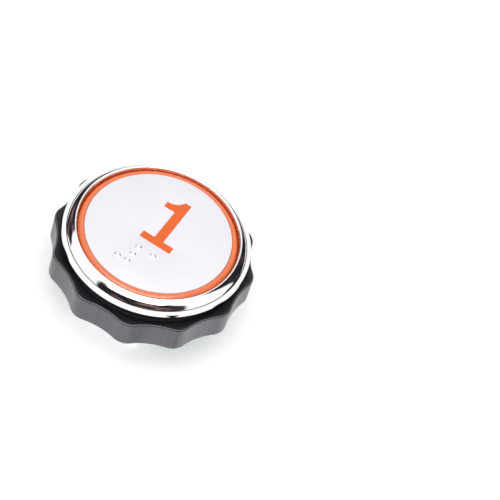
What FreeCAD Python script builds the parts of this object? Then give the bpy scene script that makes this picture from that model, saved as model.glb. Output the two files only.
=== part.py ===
import FreeCAD, Part
import math
import os
import Sketcher

from FreeCAD import Placement, Rotation, Vector

# Round illuminated lift push button for a panel hole.
# Frame: +Z is the button's axis and points at the person who presses it, +Y is up on the numeral.
# The origin is on the axis, in the plane where the bezel sits on the panel. Sizes are in millimetres.

SIZES = [
    # alias, value, what it is
    ("bezel_edge_radius", 19.72, "outer radius of the bezel"),
    ("band_top", 0.76, "top of the outer band"),
    ("band_round", 0.06, "round of the outer band's edge"),
    ("band_inner_radius", 18.88, "inner radius of the outer band"),
    ("crease_radius", 18.82, "radius of the crease between band and dome"),
    ("crease_height", 0.66, "height of the crease"),
    ("dome_foot_radius", 18.76, "radius where the dome starts"),
    ("dome_foot_height", 0.78, "height where the dome starts"),
    ("dome_round", 2.8, "round of the dome"),
    ("lip_top_radius", 17.28, "radius of the lip's top"),
    ("lip_top", 2.54, "height of the lip"),
    ("lip_inner_radius", 17.06, "radius where the inner bevel starts"),
    ("lip_drop", 0.06, "fall from the lip's top to the inner bevel"),
    ("lip_bevel_foot", 1.95, "height of the inner bevel's foot"),
    ("bezel_bore_radius", 16.85, "bore that guides the light ring"),
    ("bezel_tube_radius", 17.45, "outer radius of the bezel's inner tube"),
    ("bezel_tube_end", 0.4, "length of the bezel's inner tube below the seat"),
    ("collar_radius", 18.65, "barrel collar that locates the panel hole"),
    ("collar_gap", 0.03, "gap between the collar and the bezel round it"),
    ("collar_top", 0.35, "height of the collar inside the bezel"),
    ("collar_end", 1.0, "depth of the collar below the seat"),
    ("thread_crest_radius", 18.6, "crest radius of the barrel thread"),
    ("thread_root_radius", 18.0, "root radius of the barrel thread"),
    ("thread_pitch", 1.5, "pitch of the thread"),
    ("thread_crest_width", 0.3, "width of a ridge at its crest"),
    ("thread_base_width", 1.0, "width of a ridge at its base"),
    ("thread_count", 4, "ridges on the barrel"),
    ("thread_start", 0.4, "plain length between the collar and the first ridge"),
    ("flange_bore_radius", 17.35, "upper barrel bore, round the lens flange"),
    ("flange_bore_end", 2.3, "depth of the upper barrel bore"),
    ("barrel_bore_radius", 16.6, "lower barrel bore"),
    ("barrel_end", 7.4, "depth of the barrel's rear rim"),
    ("web_top", 4.6, "depth of the web's upper face"),
    ("web_thickness", 1.0, "thickness of the web"),
    ("web_hole_radius", 7.2, "hole in the web for the switch"),
    ("boss_radius", 1.55, "screw boss radius"),
    ("boss_top", 2.6, "depth of the screw boss's upper end"),
    ("screw_circle_radius", 16.4, "circle of the three board screws"),
    ("screw_count", 3, "board screws"),
    ("screw_shank_radius", 1.0, "screw shank radius"),
    ("screw_length", 5.0, "screw length under the head"),
    ("screw_head_radius", 1.65, "screw head radius"),
    ("screw_head_height", 1.3, "screw head height"),
    ("screw_head_rim", 0.45, "height of the straight rim of a screw head"),
    ("screw_tip_length", 0.8, "length of a screw's tapered tip"),
    ("screw_tip_radius", 0.3, "radius of the end of a screw's tip"),
    ("screw_recess_width", 0.5, "width of an arm of the cross recess"),
    ("screw_recess_span", 1.9, "span of the cross recess"),
    ("screw_recess_depth", 0.75, "depth of the cross recess"),
    ("window_circle_radius", 13.0, "circle of the light windows in the web"),
    ("window_radius", 2.2, "light window radius"),
    ("window_count", 4, "light windows and lamps"),
    ("window_angle", 45.0, "angle of the first light window from +X, degrees"),
    ("guide_circle_radius", 10.0, "circle of the guide pins"),
    ("guide_bore_radius", 1.0, "guide bore in the web"),
    ("guide_pin_radius", 0.92, "guide pin on the carrier"),
    ("guide_pin_end", 5.8, "depth of the guide pins' ends, clear of the wire pins when pressed"),
    ("guide_count", 3, "guide pins"),
    ("lens_radius", 16.6, "outer radius of the light ring"),
    ("lens_edge_height", 1.85, "height of the light ring's outer edge"),
    ("lens_ring_top", 2.25, "height of the light ring"),
    ("lens_bevel_radius", 16.15, "radius where the light ring's bevel starts"),
    ("lens_floor", 0.4, "height of the lens floor's underside"),
    ("lens_skirt_radius", 15.4, "inner radius of the lens skirt"),
    ("lens_skirt_end", 1.6, "depth of the lens skirt's end"),
    ("flange_radius", 17.1, "lens flange that the bezel holds back"),
    ("flange_top", 0.45, "depth of the flange's upper face"),
    ("flange_end", 1.2, "depth of the flange's lower face"),
    ("plate_radius", 15.35, "radius of the metal face plate"),
    ("plate_seat", 1.6, "height of the face plate's underside"),
    ("plate_top", 2.4, "height of the face plate's face"),
    ("plate_edge", 0.12, "bevel on the plate's edge"),
    ("numeral_top", 2.5, "height of the raised numeral"),
    ("dot_radius", 0.72, "radius of a braille dot"),
    ("dot_height", 0.45, "height of a braille dot"),
    ("dot_root", 0.02, "how far a dot reaches into the plate"),
    ("carrier_radius", 15.3, "radius of the carrier disc"),
    ("carrier_under", 0.4, "depth of the carrier disc's underside"),
    ("carrier_rib_radius", 9.1, "outer radius of the rib round the spring"),
    ("carrier_rib_inner", 8.7, "inner radius of the rib round the spring"),
    ("carrier_rib_end", 1.2, "depth of the rib's end"),
    ("post_radius", 2.2, "radius of the post over the switch"),
    ("post_end", 2.85, "depth of the post's end"),
    ("carrier_window_circle", 12.2, "circle of the carrier's windows"),
    ("carrier_window_radius", 2.3, "carrier window radius"),
    ("spring_radius", 8.2, "mean radius of the return spring"),
    ("spring_wire_radius", 0.3, "wire radius of the return spring"),
    ("spring_half_turns", 7, "half turns of the return spring"),
    ("board_radius", 18.0, "radius of the circuit board"),
    ("board_thickness", 1.6, "thickness of the circuit board"),
    ("board_rear", 9.0, "depth of the board's rear face"),
    ("board_screw_hole", 1.1, "hole radius for a board screw"),
    ("header_length", 14.9, "length of a wire header"),
    ("header_width", 5.75, "width of a wire header"),
    ("header_height", 7.0, "height of a wire header"),
    ("header_floor", 1.4, "floor thickness of a wire header"),
    ("header_end_wall", 0.7, "end wall of a wire header"),
    ("header_upper_wall", 0.65, "wall of a header beside its pins"),
    ("header_lower_wall", 0.85, "wall of a header away from its pins"),
    ("header_groove_width", 1.0, "groove in a header's end wall"),
    ("header_groove_depth", 0.3, "depth of the groove in a header's end wall"),
    ("header_groove_offset", 1.25, "groove centre from the header's middle"),
    ("header_upper_y", 10.05, "middle of the upper header"),
    ("header_lower_y", 11.8, "middle of the lower header, below the axis"),
    ("pin_pitch", 2.5, "pitch of the header pins"),
    ("pin_count", 5, "pins in a header"),
    ("pin_side", 0.64, "side of a square pin"),
    ("pin_chamfer", 0.14, "chamfer on a pin's ends"),
    ("pin_offset", 0.515, "pin row from the header's middle"),
    ("pin_above", 0.9, "pin length on the board's front side"),
    ("pin_below", 5.9, "pin length behind the board"),
    ("pin_hole_radius", 0.5, "board hole for a pin"),
    ("pin_solder_radius", 0.85, "solder fillet round a pin"),
    ("pin_solder_height", 0.6, "height of the solder round a pin"),
    ("pin_solder_neck", 0.48, "radius of the solder at its top"),
    ("switch_side", 9.3, "side of the switch body"),
    ("switch_corner", 0.5, "corner round of the switch body"),
    ("switch_top", 3.7, "depth of the switch body's top"),
    ("cover_top", 3.4, "depth of the switch cover's top"),
    ("switch_bore_radius", 1.85, "bore round the plunger"),
    ("switch_bore_end", 5.2, "depth of the plunger bore's floor"),
    ("plunger_radius", 1.75, "radius of the plunger"),
    ("plunger_top", 2.9, "depth of the plunger's top"),
    ("plunger_end", 4.5, "depth of the plunger's end"),
    ("plunger_bevel", 0.2, "bevel on the plunger's top"),
    ("leg_x", 4.95, "switch leg from the axis, sideways"),
    ("leg_y", 2.55, "switch leg from the axis, up or down"),
    ("leg_thickness", 0.3, "thickness of a switch leg"),
    ("leg_width", 0.9, "width of a switch leg"),
    ("leg_shoulder", 6.3, "depth of a switch leg's shoulder"),
    ("leg_hole_radius", 0.6, "board hole for a switch leg"),
    ("leg_solder_radius", 1.1, "solder dome on a switch leg"),
    ("leg_solder_height", 0.85, "height of the solder on a switch leg"),
    ("lamp_feed_x", 13.2, "lamp feed joint from the axis, sideways"),
    ("lamp_feed_y", 1.6, "lamp feed joint from the axis, up"),
    ("lamp_feed_radius", 0.5, "radius of a lamp feed joint"),
    ("lamp_feed_height", 0.35, "height of a lamp feed joint"),
    ("lamp_length", 3.5, "length of a lamp"),
    ("lamp_width", 2.8, "width of a lamp"),
    ("lamp_height", 1.4, "height of a lamp"),
    ("lamp_cup_radius", 1.15, "radius of a lamp's window"),
    ("lamp_cup_depth", 0.3, "depth of a lamp's window"),
    ("resistor_length", 3.2, "length of a chip resistor"),
    ("resistor_width", 1.6, "width of a chip resistor"),
    ("resistor_height", 0.55, "height of a chip resistor"),
    ("resistor_x", 8.2, "chip resistor from the axis"),
    ("nut_top", 2.4, "depth of the nut's clamping face"),
    ("nut_height", 6.35, "height of the ring nut"),
    ("nut_lobes", 12, "grip lobes on the nut"),
    ("nut_crest_radius", 21.5, "nut radius at a lobe"),
    ("nut_valley_radius", 20.3, "nut radius between lobes"),
    ("nut_lobe_round", 3.6, "round of a lobe"),
    ("nut_lobe_angle", 17.0, "angle of the first lobe from +X, degrees"),
    ("nut_edge", 0.25, "round on the nut's edges"),
    ("nut_bore_radius", 18.75, "nut radius at the bottom of its thread"),
    ("nut_thread_radius", 18.15, "nut radius at the crest of its thread"),
    ("nut_ridge_crest", 0.3, "width of a nut ridge at its crest"),
    ("nut_ridge_base", 0.8, "width of a nut ridge at its base"),
    ("nut_ridge_count", 3, "ridges in the nut"),
]

# The numeral's outline and the braille dots, from the centre of the face.
NUMERAL_STEM_LEFT = 0.0
NUMERAL_STEM_RIGHT = 2.05
NUMERAL_TOP = 10.2
NUMERAL_HEAD_LEFT = 0.25
NUMERAL_HEAD_RIGHT = 1.65
NUMERAL_NECK_LEFT = -0.2
NUMERAL_FLAG_LEFT = -2.85
NUMERAL_FLAG_TOP = 8.05
NUMERAL_FLAG_BOTTOM = 6.65
NUMERAL_FLAG_ROUND = 3.1
NUMERAL_BASE_LEFT = -2.6
NUMERAL_BASE_RIGHT = 4.6
NUMERAL_BASE_TOP = -1.6
NUMERAL_BASE_BOTTOM = -3.25
DOT_COLUMN = 2.3
DOT_ROW = 2.2
DOT_CELL = 5.8
DOT_LEFT = -3.45
DOT_TOP = -5.9

FIRST_SCREW_ANGLE = 270
CROWN_STEPS = 6
# the nut's first ridge lies half way between the barrel's second and third
NUT_RIDGE_SHIFT = 1.5

doc = FreeCAD.newDocument("LiftButton")
sheet = doc.addObject("Spreadsheet::Sheet", "Sizes")
for row, (alias, value, note) in enumerate(SIZES, start=1):
    sheet.set(f"A{row}", note)
    sheet.set(f"B{row}", str(value))
    sheet.setAlias(f"B{row}", alias)
doc.recompute()

subparts = []


# ---- reading the sheet ----

def amount(text):
    """The value of a sum of aliases and numbers, such as 'board_rear - board_thickness'."""
    total = 0.0
    sign = 1.0
    for word in text.split():
        if word == "+":
            sign = 1.0
        elif word == "-":
            sign = -1.0
        elif word[0].isdigit():
            total += sign * float(word)
        else:
            total += sign * float(sheet.get(word))
    return total


def formula(text):
    """The same sum as an expression on the sheet."""
    words = [w if w in "+-" or w[0].isdigit() else f"Sizes.{w}" for w in text.split()]
    if words[0] == "-":
        words.insert(0, "0")
    return " ".join(words)


def has_alias(text):
    return any(word[0].isalpha() for word in text.split())


# ---- sketches and features ----

def new_body(name):
    body = doc.addObject("PartDesign::Body", name)
    body.Label = name
    subparts.append(body)
    return body


def origin_item(body, role):
    return next(item for item in body.Origin.OriginFeatures if item.Role == role)


def new_sketch(body, name, role, height=None):
    sketch = body.newObject("Sketcher::SketchObject", f"{body.Label}_{name}")
    sketch.AttachmentSupport = (origin_item(body, role), [""])
    sketch.MapMode = "FlatFace"
    if height:
        sketch.setExpression("AttachmentOffset.Base.z", formula(height))
    return sketch


def fix_point(sketch, piece, end, x, y):
    """Dimension one point of the sketch from its origin."""
    for kind, text, axis in (("DistanceX", x, -2), ("DistanceY", y, -1)):
        value = amount(text)
        if abs(value) < 1e-9:
            sketch.addConstraint(Sketcher.Constraint("PointOnObject", piece, end, axis))
            continue
        index = sketch.addConstraint(Sketcher.Constraint(kind, -1, 1, piece, end, value))
        if has_alias(text):
            sketch.setExpression(f"Constraints[{index}]", formula(text))


def arc_through(start, stop, radius, side):
    """An arc from start to stop whose centre lies to the left (side 1) or right (side -1) of the way."""
    middle = (start + stop) * 0.5
    way = stop - start
    reach = math.sqrt(radius ** 2 - (way.Length / 2) ** 2)
    across = Vector(-way.y, way.x, 0).normalize()
    centre = middle + across * (reach * side)
    angles = [math.atan2(p.y - centre.y, p.x - centre.x) for p in (start, stop)]
    if side < 0:
        angles.reverse()
    return Part.ArcOfCircle(Part.Circle(centre, Vector(0, 0, 1), radius), angles[0], angles[1])


def add_outline(sketch, corners):
    """A closed outline. A corner is (x, y), or (x, y, radius, side) where an arc leaves it."""
    points = [Vector(amount(c[0]), amount(c[1]), 0) for c in corners]
    ends = []
    for number, corner in enumerate(corners):
        start = points[number]
        stop = points[(number + 1) % len(points)]
        if len(corner) == 4:
            radius, side = corner[2:]
            piece = sketch.addGeometry(arc_through(start, stop, amount(radius), side), False)
            index = sketch.addConstraint(Sketcher.Constraint("Radius", piece, amount(radius)))
            if has_alias(radius):
                sketch.setExpression(f"Constraints[{index}]", formula(radius))
            first, last = (1, 2) if side > 0 else (2, 1)
        else:
            piece = sketch.addGeometry(Part.LineSegment(start, stop), False)
            first, last = 1, 2
        fix_point(sketch, piece, first, corner[0], corner[1])
        ends.append((piece, first, last))
    for number, (piece, _, last) in enumerate(ends):
        following, first, _ = ends[(number + 1) % len(ends)]
        sketch.addConstraint(Sketcher.Constraint("Coincident", piece, last, following, first))


def add_circle(sketch, x, y, radius):
    centre = Vector(amount(x), amount(y), 0)
    piece = sketch.addGeometry(Part.Circle(centre, Vector(0, 0, 1), amount(radius)), False)
    fix_point(sketch, piece, 3, x, y)
    index = sketch.addConstraint(Sketcher.Constraint("Radius", piece, amount(radius)))
    if has_alias(radius):
        sketch.setExpression(f"Constraints[{index}]", formula(radius))


def add_rectangle(sketch, left, right, bottom, top):
    add_outline(sketch, [(left, bottom), (right, bottom), (right, top), (left, top)])


def turn(body, sketch, name):
    feature = body.newObject("PartDesign::Revolution", f"{body.Label}_{name}")
    feature.Profile = sketch
    feature.ReferenceAxis = (sketch, ["V_Axis"])
    feature.Angle = 360
    doc.recompute()
    return feature


def pad(body, sketch, name, length, down=False):
    feature = body.newObject("PartDesign::Pad", f"{body.Label}_{name}")
    feature.Profile = sketch
    feature.setExpression("Length", formula(length))
    feature.Reversed = down
    doc.recompute()
    return feature


def pocket(body, sketch, name, length, up=False):
    before = body.Shape.Volume
    feature = body.newObject("PartDesign::Pocket", f"{body.Label}_{name}")
    feature.Profile = sketch
    feature.setExpression("Length", formula(length))
    feature.Reversed = up
    doc.recompute()
    if body.Shape.Volume > before - 1e-6:
        raise RuntimeError(f"{feature.Name} cuts nothing")
    return feature


def polar(body, originals, name, count):
    feature = body.newObject("PartDesign::PolarPattern", f"{body.Label}_{name}")
    feature.Originals = originals
    feature.Axis = (origin_item(body, "Z_Axis"), [""])
    feature.Angle = 360
    feature.setExpression("Occurrences", f"Sizes.{count}")
    body.Tip = feature
    doc.recompute()
    return feature


def new_shape(name, shape):
    item = doc.addObject("Part::Feature", name)
    item.Label = name
    item.Shape = shape
    subparts.append(item)
    return item


def polar_point(radius, degrees, height=0.0):
    angle = math.radians(degrees)
    return Vector(radius * math.cos(angle), radius * math.sin(angle), height)


def revolved(points):
    """A solid of revolution about Z from (radius, height) points."""
    corners = [Vector(r, 0, z) for r, z in points]
    face = Part.Face(Part.makePolygon(corners + corners[:1]))
    return face.revolve(Vector(0, 0, 0), Vector(0, 0, 1), 360)


def cap_dome(radius, height, at, down=False):
    """A low round cap of solder that stands on the point at."""
    ball = (radius ** 2 + height ** 2) / (2 * height)
    foot = math.degrees(math.asin((ball - height) / ball))
    dome = Part.makeSphere(ball, Vector(0, 0, height - ball), Vector(0, 0, 1), foot, 90, 360)
    if down:
        dome.rotate(Vector(0, 0, 0), Vector(1, 0, 0), 180)
    dome.translate(at)
    return dome


# ---- bezel ----

def make_bezel():
    body = new_body("bezel_ring")
    sketch = new_sketch(body, "profile", "XZ_Plane")
    add_outline(sketch, [
        ("bezel_bore_radius", "- bezel_tube_end"),
        ("bezel_tube_radius - collar_gap", "- bezel_tube_end"),
        ("bezel_tube_radius - collar_gap", "collar_top"),
        ("collar_radius + collar_gap", "collar_top"),
        ("collar_radius + collar_gap", "0"),
        ("bezel_edge_radius", "0"),
        ("bezel_edge_radius", "band_top - band_round", "band_round", 1),
        ("bezel_edge_radius - band_round", "band_top"),
        ("band_inner_radius", "band_top"),
        ("crease_radius", "crease_height"),
        ("dome_foot_radius", "dome_foot_height", "dome_round", 1),
        ("lip_top_radius", "lip_top"),
        ("lip_inner_radius", "lip_top - lip_drop"),
        ("bezel_bore_radius", "lip_bevel_foot"),
    ])
    turn(body, sketch, "ring")


# ---- barrel ----

def thread_ridges():
    """Ridge outlines down the barrel, as (radius, height) corners from the collar to the rim."""
    corners = []
    slope = "thread_base_width - thread_crest_width"
    half_slope = amount(slope) / 2
    for number in range(int(amount("thread_count"))):
        top = amount("collar_end + thread_start") + number * amount("thread_pitch")
        bottom = top + amount("thread_base_width")
        corners.append(("thread_root_radius", f"- {top:.4f}"))
        corners.append(("thread_crest_radius", f"- {top + half_slope:.4f}"))
        corners.append(("thread_crest_radius", f"- {bottom - half_slope:.4f}"))
        corners.append(("thread_root_radius", f"- {bottom:.4f}"))
    return corners


def make_barrel():
    body = new_body("threaded_barrel")
    sketch = new_sketch(body, "profile", "XZ_Plane")
    add_outline(sketch, [
        ("bezel_tube_radius", "collar_top"),
        ("bezel_tube_radius", "- bezel_tube_end"),
        ("flange_bore_radius", "- bezel_tube_end"),
        ("flange_bore_radius", "- flange_bore_end"),
        ("barrel_bore_radius", "- flange_bore_end"),
        ("barrel_bore_radius", "- web_top"),
        ("web_hole_radius", "- web_top"),
        ("web_hole_radius", "- web_top - web_thickness"),
        ("barrel_bore_radius", "- web_top - web_thickness"),
        ("barrel_bore_radius", "- barrel_end"),
        ("thread_root_radius", "- barrel_end"),
    ] + thread_ridges()[::-1] + [
        ("thread_root_radius", "- collar_end"),
        ("collar_radius", "- collar_end"),
        ("collar_radius", "collar_top"),
    ])
    turn(body, sketch, "wall")

    boss = new_sketch(body, "boss_outline", "XY_Plane", "- barrel_end")
    add_circle(boss, "0", "- screw_circle_radius", "boss_radius")
    boss_pad = pad(body, boss, "boss", "barrel_end - boss_top")
    pilot = new_sketch(body, "pilot_outline", "XY_Plane", "- barrel_end")
    add_circle(pilot, "0", "- screw_circle_radius", "screw_shank_radius")
    pilot_cut = pocket(body, pilot, "pilot", "screw_length - board_thickness", up=True)
    polar(body, [boss_pad, pilot_cut], "bosses", "screw_count")

    guide = new_sketch(body, "guide_outline", "XY_Plane", "- web_top - web_thickness")
    add_circle(guide, "0", "guide_circle_radius", "guide_bore_radius")
    guide_cut = pocket(body, guide, "guide", "web_thickness", up=True)
    polar(body, [guide_cut], "guides", "guide_count")

    window = new_sketch(body, "window_outline", "XY_Plane", "- web_top - web_thickness")
    window.AttachmentOffset = Placement(Vector(0, 0, 0), Rotation(Vector(0, 0, 1), amount("window_angle")))
    window.setExpression("AttachmentOffset.Base.z", formula("- web_top - web_thickness"))
    add_circle(window, "window_circle_radius", "0", "window_radius")
    window_cut = pocket(body, window, "window", "web_thickness", up=True)
    polar(body, [window_cut], "windows", "window_count")


# ---- moving face: plate, lens and carrier ----

def add_numeral(sketch):
    """The outline of a slab numeral 1, anticlockwise from the foot's lower left corner."""
    corners = [
        (NUMERAL_BASE_LEFT, NUMERAL_BASE_BOTTOM),
        (NUMERAL_BASE_RIGHT, NUMERAL_BASE_BOTTOM),
        (NUMERAL_BASE_RIGHT, NUMERAL_BASE_TOP),
        (NUMERAL_STEM_RIGHT, NUMERAL_BASE_TOP),
        (NUMERAL_HEAD_RIGHT, NUMERAL_TOP),
        (NUMERAL_HEAD_LEFT, NUMERAL_TOP, NUMERAL_FLAG_ROUND, -1),
        (NUMERAL_FLAG_LEFT, NUMERAL_FLAG_TOP),
        (NUMERAL_FLAG_LEFT, NUMERAL_FLAG_BOTTOM),
        (NUMERAL_NECK_LEFT, NUMERAL_FLAG_BOTTOM),
        (NUMERAL_STEM_LEFT, NUMERAL_BASE_TOP),
        (NUMERAL_BASE_LEFT, NUMERAL_BASE_TOP),
    ]
    texts = []
    for corner in corners:
        x, y = (f"- {-v}" if v < 0 else f"{v}" for v in corner[:2])
        texts.append((x, y) if len(corner) == 2 else (x, y, str(corner[2]), corner[3]))
    add_outline(sketch, texts)


def make_face_plate():
    body = new_body("face_plate")
    disc = new_sketch(body, "profile", "XZ_Plane")
    add_outline(disc, [
        ("0", "plate_seat"),
        ("plate_radius", "plate_seat"),
        ("plate_radius", "plate_top - plate_edge"),
        ("plate_radius - plate_edge", "plate_top"),
        ("0", "plate_top"),
    ])
    turn(body, disc, "disc")
    numeral = new_sketch(body, "numeral", "XY_Plane", "plate_seat")
    add_numeral(numeral)
    pocket(body, numeral, "cut_out", "plate_top - plate_seat", up=True)

    # the number sign (dots 3, 4, 5 and 6) and then the letter for one (dot 1)
    right = DOT_LEFT + DOT_COLUMN
    dots = [
        (right, DOT_TOP),
        (right, DOT_TOP - DOT_ROW),
        (right, DOT_TOP - 2 * DOT_ROW),
        (DOT_LEFT, DOT_TOP - 2 * DOT_ROW),
        (DOT_LEFT + DOT_CELL, DOT_TOP),
    ]
    radius = amount("dot_radius")
    height = amount("dot_height")
    ball = (radius ** 2 + height ** 2) / (2 * height)
    for number, (x, y) in enumerate(dots, start=1):
        dome = new_sketch(body, f"dot_{number}_profile", "XZ_Plane")
        dome.AttachmentOffset = Placement(Vector(x, 0, -y), Rotation())
        add_outline(dome, [
            ("0", "plate_top - dot_root"),
            ("dot_radius", "plate_top - dot_root"),
            ("dot_radius", "plate_top", f"{ball:.5f}", 1),
            ("0", "plate_top + dot_height"),
        ])
        turn(body, dome, f"dot_{number}")


def make_lens():
    body = new_body("light_lens")
    sketch = new_sketch(body, "profile", "XZ_Plane")
    add_outline(sketch, [
        ("0", "lens_floor"),
        ("lens_skirt_radius", "lens_floor"),
        ("lens_skirt_radius", "- lens_skirt_end"),
        ("lens_radius", "- lens_skirt_end"),
        ("lens_radius", "- flange_end"),
        ("flange_radius", "- flange_end"),
        ("flange_radius", "- flange_top"),
        ("lens_radius", "- flange_top"),
        ("lens_radius", "lens_edge_height"),
        ("lens_bevel_radius", "lens_ring_top"),
        ("plate_radius", "lens_ring_top"),
        ("plate_radius", "plate_seat"),
        ("0", "plate_seat"),
    ])
    turn(body, sketch, "cup")
    numeral = new_sketch(body, "numeral", "XY_Plane", "plate_seat")
    add_numeral(numeral)
    pad(body, numeral, "numeral_pad", "numeral_top - plate_seat")


def make_carrier():
    body = new_body("cap_carrier")
    sketch = new_sketch(body, "profile", "XZ_Plane")
    add_outline(sketch, [
        ("0", "- post_end"),
        ("post_radius", "- post_end"),
        ("post_radius", "- carrier_under"),
        ("carrier_rib_inner", "- carrier_under"),
        ("carrier_rib_inner", "- carrier_rib_end"),
        ("carrier_rib_radius", "- carrier_rib_end"),
        ("carrier_rib_radius", "- carrier_under"),
        ("carrier_radius", "- carrier_under"),
        ("carrier_radius", "lens_floor"),
        ("0", "lens_floor"),
    ])
    turn(body, sketch, "disc")
    guide = new_sketch(body, "guide_outline", "XY_Plane", "- carrier_under")
    add_circle(guide, "0", "guide_circle_radius", "guide_pin_radius")
    guide_pad = pad(body, guide, "guide", "guide_pin_end - carrier_under", down=True)
    polar(body, [guide_pad], "guides", "guide_count")
    window = new_sketch(body, "window_outline", "XY_Plane", "- carrier_under")
    window.AttachmentOffset = Placement(Vector(0, 0, 0), Rotation(Vector(0, 0, 1), amount("window_angle")))
    window.setExpression("AttachmentOffset.Base.z", formula("- carrier_under"))
    add_circle(window, "carrier_window_circle", "0", "carrier_window_radius")
    window_cut = pocket(body, window, "window", "carrier_under + lens_floor", up=True)
    polar(body, [window_cut], "windows", "window_count")


def make_spring():
    """A coil spring between the web and the carrier, in half turns that each rise by the same step."""
    wire = amount("spring_wire_radius")
    radius = amount("spring_radius")
    half_turns = int(amount("spring_half_turns"))
    low = -amount("web_top") + wire
    high = -amount("carrier_under") - wire
    rise = (high - low) / half_turns
    half_circles = []
    for number in range(half_turns):
        side = 1 if number % 2 == 0 else -1
        foot = low + number * rise
        start = Vector(side * radius, 0, foot)
        middle = Vector(0, side * math.hypot(radius, rise / 2), foot + rise / 2)
        stop = Vector(-side * radius, 0, foot + rise)
        half_circles.append(Part.Arc(start, middle, stop).toShape())
    end = Part.Face(Part.Wire(Part.makeCircle(wire, Vector(radius, 0, low), Vector(0, 1, 0))))
    new_shape("return_spring", Part.Wire(half_circles).makePipe(end))


# ---- circuit board and what it carries ----

def pin_places():
    """The x of each pin, from the header's middle."""
    count = int(amount("pin_count"))
    return [(number - (count - 1) / 2) * amount("pin_pitch") for number in range(count)]


def signed(value):
    return f"- {-value:.4f}" if value < 0 else f"{value:.4f}"


def make_board():
    body = new_body("circuit_board")
    disc = new_sketch(body, "outline", "XY_Plane", "- board_rear")
    add_circle(disc, "0", "0", "board_radius")
    pad(body, disc, "disc", "board_thickness")

    screw = new_sketch(body, "screw_hole_outline", "XY_Plane", "- board_rear")
    add_circle(screw, "0", "- screw_circle_radius", "board_screw_hole")
    screw_cut = pocket(body, screw, "screw_hole", "board_thickness", up=True)
    polar(body, [screw_cut], "screw_holes", "screw_count")

    holes = new_sketch(body, "lead_hole_outlines", "XY_Plane", "- board_rear")
    for x in ("leg_x", "- leg_x"):
        for y in ("leg_y", "- leg_y"):
            add_circle(holes, x, y, "leg_hole_radius")
    for x in pin_places():
        add_circle(holes, signed(x), "header_upper_y + pin_offset", "pin_hole_radius")
        add_circle(holes, signed(x), "pin_offset - header_lower_y", "pin_hole_radius")
    pocket(body, holes, "lead_holes", "board_thickness", up=True)


def make_screws():
    """Three pan-head screws, heads on the board's rear face."""
    head = amount("screw_head_radius")
    height = amount("screw_head_height")
    shank = amount("screw_shank_radius")
    length = amount("screw_length")
    rim = amount("screw_head_rim")
    ball = (head ** 2 + (height - rim) ** 2) / (2 * (height - rim))
    crown = []
    for step in range(CROWN_STEPS + 1):
        radius = head * (1 - step / CROWN_STEPS)
        crown.append((radius, ball - height - math.sqrt(ball ** 2 - radius ** 2)))
    solid = revolved([
        (0, length),
        (amount("screw_tip_radius"), length),
        (shank, length - amount("screw_tip_length")),
        (shank, 0),
        (head, 0),
    ] + crown)
    width = amount("screw_recess_width")
    span = amount("screw_recess_span")
    depth = amount("screw_recess_depth")
    for across, along in ((width, span), (span, width)):
        arm = Part.makeBox(across, along, depth, Vector(-across / 2, -along / 2, -height))
        solid = solid.cut(arm)
    solids = []
    for number in range(int(amount("screw_count"))):
        copy = solid.copy()
        degrees = FIRST_SCREW_ANGLE + number * 360 / amount("screw_count")
        copy.translate(polar_point(amount("screw_circle_radius"), degrees, -amount("board_rear")))
        solids.append(copy)
    new_shape("board_screws", Part.makeCompound(solids))


def make_header(name, middle):
    """A five-way wire header on the board's rear face, open to the rear."""
    body = new_body(name)
    half_length = amount("header_length") / 2
    half_width = amount("header_width") / 2
    sketch = new_sketch(body, "outline", "XY_Plane")
    add_rectangle(sketch, signed(-half_length), signed(half_length),
                  signed(-half_width), signed(half_width))
    pad(body, sketch, "block", "header_height", down=True)

    inner = half_length - amount("header_end_wall")
    cavity = new_sketch(body, "cavity_outline", "XY_Plane", "- header_height")
    add_rectangle(cavity, signed(-inner), signed(inner),
                  f"header_lower_wall - {half_width:.4f}", f"{half_width:.4f} - header_upper_wall")
    pocket(body, cavity, "cavity", "header_height - header_floor", up=True)

    half_groove = amount("header_groove_width") / 2
    grooves = new_sketch(body, "groove_outlines", "XY_Plane", "- header_height")
    for side in (-1, 1):
        edges = sorted((side * half_length, side * (half_length - amount("header_groove_depth"))))
        add_rectangle(grooves, signed(edges[0]), signed(edges[1]),
                      f"header_groove_offset - {half_groove}", f"header_groove_offset + {half_groove}")
    pocket(body, grooves, "grooves", "header_height - header_floor", up=True)

    half_pin = amount("pin_side") / 2
    slots = new_sketch(body, "pin_slot_outlines", "XY_Plane", "- header_floor")
    for x in pin_places():
        add_rectangle(slots, signed(x - half_pin), signed(x + half_pin),
                      f"pin_offset - {half_pin}", f"pin_offset + {half_pin}")
    pocket(body, slots, "pin_slots", "header_floor", up=True)

    body.Placement = Placement(Vector(0, amount(middle), -amount("board_rear")), Rotation())
    body.setExpression("Placement.Base.y", formula(middle))
    body.setExpression("Placement.Base.z", formula("- board_rear"))


def make_header_pins(name, middle):
    side = amount("pin_side")
    low = -amount("board_rear") - amount("pin_below")
    high = -amount("board_rear") + amount("board_thickness") + amount("pin_above")
    row = amount(middle) + amount("pin_offset")
    pins = []
    for x in pin_places():
        pin = Part.makeBox(side, side, high - low, Vector(x - side / 2, row - side / 2, low))
        tips = [e for e in pin.Edges if e.BoundBox.ZLength < 1e-6]
        pins.append(pin.makeChamfer(amount("pin_chamfer"), tips))
    new_shape(name, Part.makeCompound(pins))


def make_header_solder(name, middle):
    """Solder fillets round the pins on the board's front face."""
    side = amount("pin_side")
    face = -amount("board_rear") + amount("board_thickness")
    row = amount(middle) + amount("pin_offset")
    height = amount("pin_solder_height")
    fillets = []
    for x in pin_places():
        cone = Part.makeCone(amount("pin_solder_radius"), amount("pin_solder_neck"), height,
                             Vector(x, row, face))
        core = Part.makeBox(side, side, height, Vector(x - side / 2, row - side / 2, face))
        fillets.append(cone.cut(core))
    new_shape(name, Part.makeCompound(fillets))


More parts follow.
